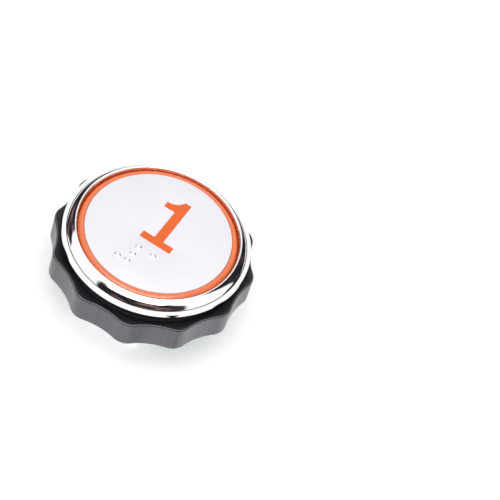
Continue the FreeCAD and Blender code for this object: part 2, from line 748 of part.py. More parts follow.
def leg_places():
    x = amount("leg_x")
    y = amount("leg_y")
    return [(-x, -y), (x, -y), (x, y), (-x, y)]


def make_switch():
    """A key switch on the board's front face: body, cover, plunger, legs and solder."""
    half = f"{amount('switch_side') / 2:.4f}"
    body = new_body("switch_body")
    sketch = new_sketch(body, "outline", "XY_Plane", "board_thickness - board_rear")
    add_rectangle(sketch, f"- {half}", half, f"- {half}", half)
    block = pad(body, sketch, "block", "board_rear - board_thickness - switch_top")
    corners = [f"Edge{i}" for i, e in enumerate(block.Shape.Edges, start=1)
               if e.BoundBox.ZLength > 1]
    rounds = body.newObject("PartDesign::Fillet", "switch_body_corners")
    rounds.Base = (block, corners)
    rounds.setExpression("Radius", formula("switch_corner"))
    doc.recompute()
    bore = new_sketch(body, "bore_outline", "XY_Plane", "- switch_top")
    add_circle(bore, "0", "0", "switch_bore_radius")
    pocket(body, bore, "bore", "switch_bore_end - switch_top")

    cover = new_body("switch_cover")
    sheet_outline = new_sketch(cover, "outline", "XY_Plane", "- switch_top")
    add_rectangle(sheet_outline, f"- {half}", half, f"- {half}", half)
    add_circle(sheet_outline, "0", "0", "switch_bore_radius")
    pad(cover, sheet_outline, "sheet", "switch_top - cover_top")

    plunger = new_body("switch_plunger")
    profile = new_sketch(plunger, "profile", "XZ_Plane")
    add_outline(profile, [
        ("0", "- plunger_end"),
        ("plunger_radius", "- plunger_end"),
        ("plunger_radius", "- plunger_top - plunger_bevel"),
        ("plunger_radius - plunger_bevel", "- plunger_top"),
        ("0", "- plunger_top"),
    ])
    turn(plunger, profile, "stem")

    thickness = amount("leg_thickness")
    width = amount("leg_width")
    shoulder = -amount("leg_shoulder")
    rear = -amount("board_rear")
    wall = amount("switch_side") / 2
    outer = amount("leg_x") + thickness / 2
    legs = []
    for x, y in leg_places():
        side = 1 if x > 0 else -1
        drop = Part.makeBox(thickness, width, shoulder - rear,
                            Vector(outer - thickness, y - width / 2, rear))
        reach = Part.makeBox(outer - wall, width, thickness,
                             Vector(wall, y - width / 2, shoulder - thickness))
        leg = drop.fuse(reach).removeSplitter()
        if side < 0:
            leg = leg.mirror(Vector(0, 0, 0), Vector(1, 0, 0))
        legs.append(leg)
    new_shape("switch_legs", Part.makeCompound(legs))

    domes = [cap_dome(amount("leg_solder_radius"), amount("leg_solder_height"),
                      Vector(x, y, rear), down=True) for x, y in leg_places()]
    new_shape("switch_solder", Part.makeCompound(domes))


def make_lamp_feeds():
    domes = [cap_dome(amount("lamp_feed_radius"), amount("lamp_feed_height"),
                      Vector(side * amount("lamp_feed_x"), amount("lamp_feed_y"),
                             -amount("board_rear")), down=True) for side in (-1, 1)]
    new_shape("lamp_feed_solder", Part.makeCompound(domes))


def make_lamps():
    """Surface-mounted lamps under the windows of the web."""
    half_length = f"{amount('lamp_length') / 2:.4f}"
    half_width = f"{amount('lamp_width') / 2:.4f}"
    for number in range(int(amount("window_count"))):
        body = new_body(f"lamp_{number + 1}")
        block = new_sketch(body, "outline", "XY_Plane")
        add_rectangle(block, f"- {half_length}", half_length, f"- {half_width}", half_width)
        pad(body, block, "block", "lamp_height")
        cup = new_sketch(body, "cup_outline", "XY_Plane", "lamp_height")
        add_circle(cup, "0", "0", "lamp_cup_radius")
        pocket(body, cup, "cup", "lamp_cup_depth")
        degrees = amount("window_angle") + number * 360 / amount("window_count")
        place = polar_point(amount("window_circle_radius"), degrees,
                            amount("board_thickness") - amount("board_rear"))
        body.Placement = Placement(place, Rotation(Vector(0, 0, 1), degrees + 90))


def make_resistors():
    for name, side in (("resistor_left", -1), ("resistor_right", 1)):
        box = doc.addObject("Part::Box", name)
        box.Label = name
        box.setExpression("Length", formula("resistor_width"))
        box.setExpression("Width", formula("resistor_length"))
        box.setExpression("Height", formula("resistor_height"))
        left = side * amount("resistor_x") - amount("resistor_width") / 2
        bottom = -amount("resistor_length") / 2
        face = amount("board_thickness") - amount("board_rear")
        box.Placement = Placement(Vector(left, bottom, face), Rotation())
        subparts.append(box)


# ---- ring nut ----

def lobe_outline():
    """Twelve round lobes joined by hollow arcs, each tangent to the next."""
    crest = amount("nut_crest_radius")
    valley = amount("nut_valley_radius")
    lobe = amount("nut_lobe_round")
    step = 180 / amount("nut_lobes")
    cosine = math.cos(math.radians(step))
    inner = crest - lobe
    hollow = ((inner ** 2 + valley ** 2 - 2 * inner * valley * cosine - lobe ** 2)
              / (2 * (lobe + inner * cosine - valley)))
    edges = []
    for number in range(int(amount("nut_lobes"))):
        middle = amount("nut_lobe_angle") + number * 2 * step
        lobe_centre = polar_point(inner, middle)
        hollow_before = polar_point(valley + hollow, middle - step)
        hollow_after = polar_point(valley + hollow, middle + step)
        before = lobe_centre + (hollow_before - lobe_centre).normalize() * lobe
        after = lobe_centre + (hollow_after - lobe_centre).normalize() * lobe
        next_lobe = polar_point(inner, middle + 2 * step)
        onward = next_lobe + (hollow_after - next_lobe).normalize() * lobe
        edges.append(Part.Arc(before, polar_point(crest, middle), after).toShape())
        edges.append(Part.Arc(after, polar_point(valley, middle + step), onward).toShape())
    return Part.Wire(Part.__sortEdges__(edges))


def make_nut():
    """The lobed ring nut that clamps the panel against the bezel."""
    top = -amount("nut_top")
    bottom = top - amount("nut_height")
    outline = lobe_outline()
    outline.translate(Vector(0, 0, bottom))
    block = Part.Face(outline).extrude(Vector(0, 0, top - bottom))
    rims = [e for e in block.Edges if e.BoundBox.ZLength < 1e-6]
    block = block.makeFillet(amount("nut_edge"), rims)
    root = amount("nut_bore_radius")
    crest = amount("nut_thread_radius")
    base = amount("nut_ridge_base")
    slope = (base - amount("nut_ridge_crest")) / 2
    first_barrel_ridge = -amount("collar_end + thread_start") - amount("thread_base_width") / 2
    first_ridge = first_barrel_ridge - NUT_RIDGE_SHIFT * amount("thread_pitch")
    bore = [(0, top + 1), (root, top + 1)]
    for number in range(int(amount("nut_ridge_count"))):
        middle = first_ridge - number * amount("thread_pitch")
        bore.append((root, middle + base / 2))
        bore.append((crest, middle + base / 2 - slope))
        bore.append((crest, middle - base / 2 + slope))
        bore.append((root, middle - base / 2))
    bore += [(root, bottom - 1), (0, bottom - 1)]
    new_shape("ring_nut", block.cut(revolved(bore)))


# ---- build, check and export ----

make_bezel()
make_barrel()
make_face_plate()
make_lens()
make_carrier()
make_spring()
make_board()
make_screws()
for level, middle_text in (("upper", "header_upper_y"), ("lower", "- header_lower_y")):
    make_header(f"header_shroud_{level}", middle_text)
    make_header_pins(f"header_pins_{level}", middle_text)
    make_header_solder(f"header_solder_{level}", middle_text)
make_switch()
make_lamp_feeds()
make_lamps()
make_resistors()
make_nut()
doc.recompute()

for item in doc.Objects:
    if "Invalid" in item.State or "Error" in item.State:
        raise RuntimeError(f"{item.Name} did not build: {item.State}")
for item in subparts:
    if item.Shape.isNull() or not item.Shape.isValid():
        raise RuntimeError(f"{item.Label} has no valid shape")

os.makedirs("parts", exist_ok=True)
for item in subparts:
    item.Shape.exportStep(f"parts/{item.Label}.step")
    box = item.Shape.BoundBox
    print(f"{item.Label:22} {len(item.Shape.Solids):2} solids {item.Shape.Volume:9.2f} mm3  "
          f"z {box.ZMin:7.2f} to {box.ZMax:6.2f}")
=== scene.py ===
import math

import bmesh
import bpy
from mathutils import Matrix, Vector


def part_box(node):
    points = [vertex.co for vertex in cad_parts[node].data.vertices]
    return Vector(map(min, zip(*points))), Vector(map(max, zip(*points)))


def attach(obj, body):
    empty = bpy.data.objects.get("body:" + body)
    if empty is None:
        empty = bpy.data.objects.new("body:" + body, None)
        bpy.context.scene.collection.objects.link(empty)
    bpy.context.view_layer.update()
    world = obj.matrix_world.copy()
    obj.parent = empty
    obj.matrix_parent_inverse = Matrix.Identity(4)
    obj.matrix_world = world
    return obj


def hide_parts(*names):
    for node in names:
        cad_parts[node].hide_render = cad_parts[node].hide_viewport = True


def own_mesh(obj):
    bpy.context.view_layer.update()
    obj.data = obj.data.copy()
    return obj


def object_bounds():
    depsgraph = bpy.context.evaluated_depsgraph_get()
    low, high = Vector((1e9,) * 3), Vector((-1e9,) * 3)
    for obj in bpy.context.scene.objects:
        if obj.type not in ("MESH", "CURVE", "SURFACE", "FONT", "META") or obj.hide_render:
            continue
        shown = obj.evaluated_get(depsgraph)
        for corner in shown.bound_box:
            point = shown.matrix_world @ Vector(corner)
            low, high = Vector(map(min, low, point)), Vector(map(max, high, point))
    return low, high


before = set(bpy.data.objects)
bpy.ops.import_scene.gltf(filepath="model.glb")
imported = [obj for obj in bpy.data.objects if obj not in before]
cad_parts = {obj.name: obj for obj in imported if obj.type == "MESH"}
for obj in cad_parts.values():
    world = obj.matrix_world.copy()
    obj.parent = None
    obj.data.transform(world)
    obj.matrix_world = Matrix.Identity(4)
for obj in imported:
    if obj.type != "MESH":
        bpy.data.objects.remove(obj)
cad_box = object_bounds()

MM = 0.001
TURN = 2 * math.pi

# Driving sizes in millimetres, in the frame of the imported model. The seat on the panel is at height 0,
# and a value that isn't a height is a radius, unless its name says otherwise.
BEZEL_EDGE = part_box("bezel_ring")[1].x / MM
BEZEL_BORE = 16.85
BEZEL_TUBE_END = -0.4
BAND_TOP = 0.76
BAND_INNER = 18.88
DOME_FOOT = 18.76
LIP = 17.28
LIP_TOP = 2.54
LIP_INNER = 17.04
LIP_INNER_TOP = 2.46
LENS_EDGE = 16.6
LENS_TOP = 2.25
PLATE_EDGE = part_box("face_plate")[1].x / MM
PLATE_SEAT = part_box("face_plate")[0].z / MM
PLATE_TOP = 2.4
NUMERAL_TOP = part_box("light_lens")[1].z / MM
COLLAR_TOP = 0.35
THREAD_PITCH = 1.5
BOARD_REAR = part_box("circuit_board")[0].z / MM
BOARD_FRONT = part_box("circuit_board")[1].z / MM
BOARD_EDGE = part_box("circuit_board")[1].x / MM
NUT_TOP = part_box("ring_nut")[1].z / MM
NUT_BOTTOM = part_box("ring_nut")[0].z / MM
NUT_LOBES = 12
NUT_CREST = 21.49
NUT_VALLEY = 20.3
NUT_LOBE_ROUND = 3.6
NUT_LOBE_ANGLE = math.radians(17.0)
LEG_PLACES = [(x, y) for x in (-4.95, 4.95) for y in (-2.55, 2.55)]
LAMP_FEED_PLACES = [(-13.2, 1.6), (13.2, 1.6)]
CROSS_ARM = 0.95

# The weld after a cut, in millimetres, and the angles in degrees above which an edge stays sharp.
CUT_WELD = 0.001
SMOOTH_ANGLE = 35
ROUND_SMOOTH_ANGLE = 60

# The room, in metres and degrees: a white tent round the object, turned to face the camera.
TENT_AZIMUTH = 19.5
TENT_LEVEL = 1.04
FLOOR_HALF_SIDE = 1.2
FLOOR_GLOW = 0.2
LIGHT_DISTANCE = 0.5


# ---- shapes ----

def solid_from(name, bm):
    """An object made from a closed mesh that is built in millimetres."""
    bmesh.ops.scale(bm, vec=(MM, MM, MM), verts=bm.verts)
    bmesh.ops.recalc_face_normals(bm, faces=bm.faces)
    mesh = bpy.data.meshes.new(name)
    bm.to_mesh(mesh)
    bm.free()
    obj = bpy.data.objects.new(name, mesh)
    bpy.context.scene.collection.objects.link(obj)
    return obj


def new_piece(name, bm, material, body, smooth_angle=SMOOTH_ANGLE):
    """A mesh piece that rides on a body."""
    piece = solid_from(name, bm)
    for face in piece.data.polygons:
        face.use_smooth = True
    piece.data.set_sharp_from_angle(angle=math.radians(smooth_angle))
    piece.data.materials.append(material)
    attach(piece, body)
    return piece


def soften(corners, closed=True, steps=6):
    """A polyline with rounded corners. A corner is (x, y) or (x, y, radius)."""
    count = len(corners)
    points = []
    for number, corner in enumerate(corners):
        here = Vector(corner[:2])
        radius = corner[2] if len(corner) > 2 else 0
        if radius == 0 or (not closed and number in (0, count - 1)):
            points.append(here)
            continue
        before = (Vector(corners[number - 1][:2]) - here).normalized()
        after = (Vector(corners[(number + 1) % count][:2]) - here).normalized()
        half = before.angle(after) / 2
        reach = radius / math.tan(half)
        centre = here + (before + after).normalized() * (radius / math.sin(half))
        start = here + before * reach - centre
        sweep = math.pi - 2 * half
        turn = 1 if before.cross(after) < 0 else -1
        for step in range(steps + 1):
            angle = turn * sweep * step / steps
            points.append(centre + Matrix.Rotation(angle, 2) @ start)
    return points


def arc(start, stop, radius, side, steps):
    """Points from start to stop on an arc whose centre is to the left (1) or right (-1) of the way."""
    start = Vector(start)
    stop = Vector(stop)
    way = stop - start
    across = Vector((-way.y, way.x)).normalized() * side
    centre = (start + stop) / 2 + across * math.sqrt(radius ** 2 - (way.length / 2) ** 2)
    first = start - centre
    sweep = side * 2 * math.asin(way.length / 2 / radius)
    return [centre + Matrix.Rotation(sweep * k / steps, 2) @ first for k in range(steps + 1)]


def join_rings(bm, rings, closed=False):
    """Makes faces between each ring of points and the next, and from the last to the first if closed."""
    for first, second in zip(rings, rings[1:] + (rings[:1] if closed else [])):
        for k in range(len(first)):
            n = (k + 1) % len(first)
            bm.faces.new((first[k], first[n], second[n], second[k]))


def lathe_mesh(bm, profile, segments=192, at=(0, 0)):
    """Turns (radius, height) points about an axis along Z. A point on the axis closes the shape."""
    rings = []
    for radius, height in profile:
        if radius < 1e-6:
            rings.append([bm.verts.new((at[0], at[1], height))])
            continue
        ring = []
        for step in range(segments):
            angle = TURN * step / segments
            ring.append(bm.verts.new((at[0] + radius * math.cos(angle),
                                      at[1] + radius * math.sin(angle), height)))
        rings.append(ring)
    for low, high in zip(rings, rings[1:] + rings[:1]):
        if len(low) == 1 and len(high) == 1:
            continue
        for step in range(segments):
            following = (step + 1) % segments
            corners = [low[step % len(low)], low[following % len(low)],
                       high[following % len(high)], high[step % len(high)]]
            unique = list(dict.fromkeys(corners))
            bm.faces.new(unique)


def lathe(name, profile, material, body, slot, **options):
    """A turned piece. The options are lathe_mesh's."""
    bm = bmesh.new()
    lathe_mesh(bm, profile, **options)
    return new_piece(name, bm, material, body)


def prism_mesh(bm, loops, low, high, edge, steps=2):
    """A flat piece with a rounded top edge. The first loop is the outside and the others are holes."""
    levels = [(0.0, low), (0.0, high - edge)]
    for step in range(1, steps + 1):
        angle = math.pi / 2 * step / steps
        levels.append((edge * (1 - math.cos(angle)), high - edge * (1 - math.sin(angle))))
    tops = []
    for loop in loops:
        rings = []
        for inset, height in levels:
            shrunk = inset_loop(loop, inset)
            rings.append([bm.verts.new((p.x, p.y, height)) for p in shrunk])
        join_rings(bm, rings)
        tops.append((rings[0], rings[-1]))
    for which in (0, 1):
        edges = []
        for rings in tops:
            ring = rings[which]
            for k in range(len(ring)):
                pair = (ring[k], ring[(k + 1) % len(ring)])
                edges.append(bm.edges.get(pair) or bm.edges.new(pair))
        bmesh.ops.triangle_fill(bm, edges=edges, use_beauty=True)


def inset_loop(loop, distance):
    """Moves an outline towards its left side by distance."""
    if distance == 0:
        return [Vector(p) for p in loop]
    moved = []
    count = len(loop)
    for k in range(count):
        here = Vector(loop[k])
        before = (here - Vector(loop[k - 1])).normalized()
        after = (Vector(loop[(k + 1) % count]) - here).normalized()
        left = (Vector((-before.y, before.x)) + Vector((-after.y, after.x)))
        left.normalize()
        lean = max(left.dot(Vector((-before.y, before.x))), 0.3)
        moved.append(here + left * (distance / lean))
    return moved


def circle_loop(radius, count):
    """An anticlockwise circle of count points about the axis."""
    return [Vector((radius * math.cos(TURN * k / count), radius * math.sin(TURN * k / count)))
            for k in range(count)]


def strip_mesh(bm, points, width, low, high, closed=False):
    """A flat strip of one width along a polyline, with a bevel on its outer face."""
    path = [Vector(p) for p in points]
    count = len(path)
    sides = []
    for k in range(count):
        before = path[k] - path[k - 1] if (k or closed) else path[1] - path[0]
        after = path[(k + 1) % count] - path[k] if (k < count - 1 or closed) else before
        before.normalize()
        after.normalize()
        left = Vector((-before.y - after.y, before.x + after.x)).normalized()
        reach = width / 2 / max(left.dot(Vector((-before.y, before.x))), 0.4)
        sides.append((path[k], left * reach))
    bevel = min(0.25, abs(high - low) / width)
    section = [(-1, low), (-1 + bevel, high), (1 - bevel, high), (1, low)]
    rows = [[bm.verts.new((*(p + left * reach), height)) for reach, height in section]
            for p, left in sides]
    join_rings(bm, rows, closed)
    if not closed:
        bm.faces.new(rows[0])
        bm.faces.new(rows[-1])


# ---- materials ----

class Nodes:
    """A small builder of one material's nodes."""

    def __init__(self, name):
        self.material = bpy.data.materials.new(name)
        self.material.use_nodes = True
        self.tree = self.material.node_tree
        self.shader = self.tree.nodes["Principled BSDF"]
        self.place = self.add("ShaderNodeTexCoord").outputs["Object"]

    def add(self, kind, **values):
        node = self.tree.nodes.new(kind)
        for key, value in values.items():
            setattr(node, key, value)
        return node

    def link(self, source, target):
        self.tree.links.new(source, target)

    def noise(self, scale, detail=2.0, stretch=None):
        source = self.place
        if stretch:
            mapping = self.add("ShaderNodeMapping")
            mapping.inputs["Scale"].default_value = stretch
            self.link(source, mapping.inputs["Vector"])
            source = mapping.outputs["Vector"]
        node = self.add("ShaderNodeTexNoise")
        node.inputs["Scale"].default_value = scale
        node.inputs["Detail"].default_value = detail
        self.link(source, node.inputs["Vector"])
        return node.outputs["Fac"]

    def between(self, factor, low, high, clip=(0.3, 0.7)):
        """A value that follows factor from low to high."""
        node = self.add("ShaderNodeMapRange")
        node.inputs["From Min"].default_value = clip[0]
        node.inputs["From Max"].default_value = clip[1]
        node.inputs["To Min"].default_value = low
        node.inputs["To Max"].default_value = high
        self.link(factor, node.inputs["Value"])
        return node.outputs["Result"]

    def colours(self, factor, first, second):
        ramp = self.add("ShaderNodeValToRGB")
        ramp.color_ramp.elements[0].position = 0.3
        ramp.color_ramp.elements[1].position = 0.7
        ramp.color_ramp.elements[0].color = (*first, 1)
        ramp.color_ramp.elements[1].color = (*second, 1)
        self.link(factor, ramp.inputs["Fac"])
        return ramp.outputs["Color"]

    def bump(self, heights, distance, strength=1.0):
        node = self.add("ShaderNodeBump")
        node.inputs["Strength"].default_value = strength
        node.inputs["Distance"].default_value = distance
        self.link(heights, node.inputs["Height"])
        self.link(node.outputs["Normal"], self.shader.inputs["Normal"])

    def set(self, **values):
        for key, value in values.items():
            self.shader.inputs[key.replace("_", " ")].default_value = value


def shade(colour, factor):
    return tuple(min(1.0, c * factor) for c in colour)


def finish(name, colour, rough, spread=0.04, tone=0.06, grain=3000, bump=0.000004,
           stretch=None, patches=180, **values):
    """A finish with a little variation of colour and gloss and a fine surface grain."""
    made = Nodes(name)
    broad = made.noise(patches, 3.0, stretch)
    fine = made.noise(grain, 3.0, stretch)
    made.link(made.colours(broad, shade(colour, 1 - tone), shade(colour, 1 + tone)),
              made.shader.inputs["Base Color"])
    made.link(made.between(fine, rough - spread, rough + spread), made.shader.inputs["Roughness"])
    made.bump(fine, bump)
    made.set(**values)
    return made.material


def amber_material(name, pale, deep, specular, coat):
    """Translucent amber moulding: light goes a little way in, the skin is more or less glossy, and it
    has a faint painted glow.
    """
    made = Nodes(name)
    haze = made.noise(260, 3.0)
    made.link(made.colours(haze, deep, pale), made.shader.inputs["Base Color"])
    made.link(made.between(made.noise(4000), 0.22, 0.30), made.shader.inputs["Roughness"])
    made.bump(made.noise(2500), 0.000003)
    # The emission at the end is a painted glow: the moulding is lit by no lamp of its own.
    made.set(Subsurface_Weight=0.35, Subsurface_Radius=(1.0, 0.25, 0.08),
             Subsurface_Scale=0.0008, Coat_Weight=coat, Coat_Roughness=0.16,
             Specular_IOR_Level=specular,
             Emission_Color=(1.0, 0.25, 0.06, 1), Emission_Strength=0.05)
    return made.material


CHROME = finish("mirror_chrome", (0.95, 0.95, 0.955), 0.035, spread=0.012, tone=0.01,
                grain=900, bump=0.0000004, Metallic=1.0)
SATIN = finish("satin_metal", (0.765, 0.75, 0.80), 0.55, spread=0.05, tone=0.012,
               grain=9000, Metallic=0.1, Specular_IOR_Level=0.3)
# One moulding in two copies: the numeral's is darker and the ring's paler, which is painted light and
# shade; the ring's stronger coat and specular are its real gloss.
AMBER = amber_material("amber_moulding", (0.76, 0.125, 0.016), (0.72, 0.115, 0.013), 0.2, 0.1)
AMBER_RING_PAINTED_LIGHT = amber_material("amber_ring_painted_light", (0.81, 0.155, 0.022), (0.76, 0.140, 0.018), 0.6, 0.9)
POLISHED = finish("polished_dots", (0.90, 0.90, 0.92), 0.28, spread=0.03, tone=0.01,
                  grain=5000, bump=0.000001, Metallic=1.0)
# Painted shade: a darker, warm-tinted metal for the lip's inner wall and the bore, which the lip shades.
LIP_WALL_SHADE = finish("bezel_bore_painted_shade", (0.76, 0.62, 0.57), 0.25, spread=0.05, tone=0.02,
                     grain=2000, Metallic=1.0)
# Painted shade: a near-black finish for the seam's groove, where shade falls in the crease.
SEAM_SHADE = finish("bezel_seam_painted_shade", (0.020, 0.018, 0.020), 0.5)
NUT_GREY = finish("nut_grip", (0.060, 0.059, 0.069), 0.30, spread=0.06, tone=0.15,
                  grain=5000, bump=0.000008, stretch=(1.0, 1.0, 0.05), patches=2000,
                  Specular_IOR_Level=1.0)
# Painted highlight: a lighter grey line along the round of the nut's top edge.
NUT_EDGE_HIGHLIGHT = finish("nut_edge_painted_highlight", (0.13, 0.13, 0.14), 0.3, spread=0.08, tone=0.25,
                  grain=6000, bump=0.000008, Specular_IOR_Level=0.9)
# Painted shade: a darker copy of the nut's black for its flat faces, its edge rounds and the mouth by
# the bore.
NUT_FACE_SHADE = finish("nut_face_painted_shade", (0.017, 0.016, 0.020), 0.45, spread=0.08, tone=0.25,
                   grain=7000, bump=0.000012, Specular_IOR_Level=0.25)
BARREL_BLACK = finish("barrel_moulding", (0.008, 0.008, 0.009), 0.5, spread=0.05, tone=0.1,
                      grain=4000, Specular_IOR_Level=0.15)
BOARD_GREEN = finish("solder_mask", (0.002, 0.235, 0.050), 0.28, spread=0.05, tone=0.10,
                     grain=2500, bump=0.000003, Coat_Weight=0.05, Coat_Roughness=0.12,
                     Specular_IOR_Level=0.15)
BOARD_TRACE = finish("mask_over_copper", (0.035, 0.380, 0.190), 0.25, grain=2500,
                     bump=0.000002, Coat_Weight=0.3, Coat_Roughness=0.1)
BOARD_EDGE_TAN = finish("board_edge", (0.42, 0.34, 0.18), 0.7, spread=0.08, tone=0.15,
                        grain=6000, bump=0.000010)
LEGEND_INK = finish("legend_ink", (0.80, 0.93, 0.84), 0.55, spread=0.06, tone=0.05, grain=5000)
# Its emission is a painted glow that lifts the shade inside the header shrouds.
NYLON_WHITE_GLOW = finish("white_nylon_painted_glow", (0.93, 0.92, 0.91), 0.38, spread=0.05, tone=0.02,
                     grain=3500, Subsurface_Weight=0.3, Subsurface_Scale=0.0008,
                     Emission_Color=(1, 1, 1, 1), Emission_Strength=0.12)
TINNED = finish("tinned_wire", (0.80, 0.79, 0.76), 0.22, spread=0.06, tone=0.05, Metallic=1.0)
SOLDER = finish("bright_solder", (0.82, 0.82, 0.82), 0.14, spread=0.06, tone=0.05,
                grain=2200, bump=0.000012, Metallic=1.0)
NICKEL = finish("nickel_plate", (0.82, 0.78, 0.75), 0.30, spread=0.05, grain=2600,
                bump=0.000005, tone=0.04, Metallic=1.0)
# Painted shade: a dark metal for the walls deep in the screws' cross recess.
RECESS_SHADE = finish("screw_recess_painted_shade", (0.16, 0.13, 0.12), 0.4, spread=0.06, tone=0.08,
                     Metallic=1.0)
SWITCH_BLACK = finish("switch_moulding", (0.02, 0.02, 0.021), 0.45)
STEEL = finish("pressed_steel", (0.62, 0.62, 0.63), 0.28, spread=0.06, tone=0.05, grain=3500,
               Metallic=1.0)
PLUNGER_BROWN = finish("plunger_moulding", (0.19, 0.07, 0.035), 0.4)
CARRIER_WHITE = finish("carrier_moulding", (0.80, 0.80, 0.78), 0.42)
LAMP_WHITE = finish("lamp_housing", (0.84, 0.80, 0.62), 0.35)
CERAMIC = finish("resistor_body", (0.016, 0.016, 0.018), 0.3)


def dress(node, material, bevel=0.0):
    """Gives a carried-over CAD node its finish, and a small round on its edges."""
    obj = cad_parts[node]
    for place in obj.material_slots:
        place.link = "OBJECT"
        place.material = material
    if bevel:
        rounds = obj.modifiers.new("edges", "BEVEL")
        rounds.width = bevel * MM
        rounds.segments = 2
        rounds.limit_method = "ANGLE"
        rounds.angle_limit = math.radians(40)
        rounds.harden_normals = True


def paint(piece, material, chosen, axis=(0, 0)):
    """Gives another finish to the faces that chosen(radius, height, normal) picks, in millimetres."""
    piece.data.materials.append(material)
    number = len(piece.data.materials) - 1
    for face in piece.data.polygons:
        radius = (face.center.xy / MM - Vector(axis)).length
        if chosen(radius, face.center.z / MM, face.normal):
            face.material_index = number


# ---- bezel, plate, lens ----

def make_bezel():
    """Chrome ring: a flat outer band, a fine seam, a dome and a lip round the light ring."""
    tube, pocket, dome_round, bevel_foot = 17.42, 18.68, 2.8, 1.95
    dome_foot_height, seam_slope, seam_floor = 0.78, 0.70, 0.66
    band = soften([(BEZEL_EDGE - 0.04, 0.0), (BEZEL_EDGE, 0.04), (BEZEL_EDGE, BAND_TOP, 0.05),
                   (BAND_INNER, BAND_TOP)], closed=False)
    profile = [Vector(p) for p in ((BEZEL_BORE, BEZEL_TUBE_END), (tube, BEZEL_TUBE_END),
                                   (tube, COLLAR_TOP), (pocket, COLLAR_TOP), (pocket, 0.0))]
    profile += band
    profile += [Vector((BAND_INNER - 0.03, seam_slope)), Vector((DOME_FOOT + 0.03, seam_floor))]
    profile += arc((DOME_FOOT, dome_foot_height), (LIP, LIP_TOP), dome_round, 1, 28)
    profile += soften([(LIP, LIP_TOP), (LIP - 0.14, LIP_TOP + 0.03, 0.08),
                       (LIP_INNER, LIP_INNER_TOP, 0.08), (BEZEL_BORE, bevel_foot),
                       (BEZEL_BORE, BEZEL_TUBE_END)], closed=False)[1:-1]
    piece = lathe("bezel", profile, CHROME, "housing", "bezel_chrome", segments=320)
    # Painted shade: the seam's groove is made near black.
    paint(piece, SEAM_SHADE, lambda r, z, n: DOME_FOOT < r < BAND_INNER and z > seam_floor - 0.1)
    # Painted shade: the lip's inner wall and the bore below it take the darker metal.
    paint(piece, LIP_WALL_SHADE,
          lambda r, z, n: r < LIP_INNER + 0.02 and z < LIP_INNER_TOP + 0.01)
    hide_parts("bezel_ring")


def numeral_outline(shrink=0.0):
    """The slab numeral 1, anticlockwise. Its stem narrows a little towards the top."""
    head = arc((0.25, 10.2), (-2.85, 8.05), 3.1, -1, 10)
    corner = 0.10
    loop = soften([(-2.85, 6.65, corner), (-0.2, 6.65, corner), (0.0, -1.6, corner),
                   (-2.6, -1.6, corner), (-2.6, -3.25, corner), (4.6, -3.25, corner),
                   (4.6, -1.6, corner), (2.05, -1.6, corner), (1.65, 10.2, corner),
                   (0.25, 10.2)], closed=False, steps=3) + head[1:]
    return inset_loop(loop, shrink)


def make_plate():
    """Matt plate with the numeral cut out and five Braille dots on it, each with a flared foot."""
    bevel, dot_root = 0.1, 0.05
    bm = bmesh.new()
    hole = list(reversed(numeral_outline()))
    prism_mesh(bm, [circle_loop(PLATE_EDGE, 288), hole], PLATE_SEAT, PLATE_TOP, bevel)
    left, top, column, row, cell = -3.45, -5.9, 2.3, 2.2, 5.8
    dots = [(left + column, top - k * row) for k in range(3)]
    dots += [(left, top - 2 * row), (left + cell, top)]
    radius, height, flare, foot = 0.62, 0.45, 0.16, 0.08
    ball = (radius ** 2 + height ** 2) / (2 * height)
    for place in dots:
        dome = [(0.0, PLATE_TOP - dot_root), (radius + flare, PLATE_TOP - dot_root),
                (radius + flare, PLATE_TOP + 0.003), (radius + flare * 0.4, PLATE_TOP + 0.03)]
        for step in range(9):
            reach = radius * (1 - step / 8)
            rise = math.sqrt(ball ** 2 - reach ** 2) - (ball - height)
            dome.append((reach, PLATE_TOP + max(rise, foot)))
        lathe_mesh(bm, dome, 48, place)
    piece = new_piece("plate", bm, SATIN, "face")
    paint(piece, POLISHED, lambda r, z, n: z > PLATE_TOP + 0.02)
    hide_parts("face_plate")


def make_lens():
    """Amber cup: its rim is the light ring, a flange holds it back, and the numeral stands on it."""
    floor, skirt, skirt_end = 0.4, 15.4, -1.6
    flange, flange_top, flange_end = 17.1, -0.45, -1.2
    edge_top, bevel_start, groove = 1.85, 16.15, PLATE_EDGE + 0.1
    numeral_gap, numeral_bevel = 0.03, 0.09
    bm = bmesh.new()
    profile = soften([
        (0.0, floor), (skirt, floor), (skirt, skirt_end), (LENS_EDGE, skirt_end),
        (LENS_EDGE, flange_end), (flange, flange_end), (flange, flange_top),
        (LENS_EDGE, flange_top), (LENS_EDGE, edge_top, 0.15), (bevel_start, LENS_TOP, 0.5),
        (groove, LENS_TOP, 0.08), (groove, PLATE_SEAT), (0.0, PLATE_SEAT)], closed=False)
    lathe_mesh(bm, profile, 288)
    prism_mesh(bm, [numeral_outline(numeral_gap)], PLATE_SEAT, NUMERAL_TOP, numeral_bevel)
    piece = new_piece("lens", bm, AMBER, "face")
    # Painted light: the ring's faces take the paler copy of the amber.
    paint(piece, AMBER_RING_PAINTED_LIGHT, lambda r, z, n: r > PLATE_EDGE)
    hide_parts("light_lens")


# ---- nut ----

def thread_profile(start, crest, root, count, crest_width, base_width):
    """Ridges down an axis, from the first ridge's top."""
    slope = (base_width - crest_width) / 2
    points = []
    for k in range(count):
        top = start - k * THREAD_PITCH
        points += [(root, top), (crest, top - slope, 0.06),
                   (crest, top - base_width + slope, 0.06), (root, top - base_width)]
    return points


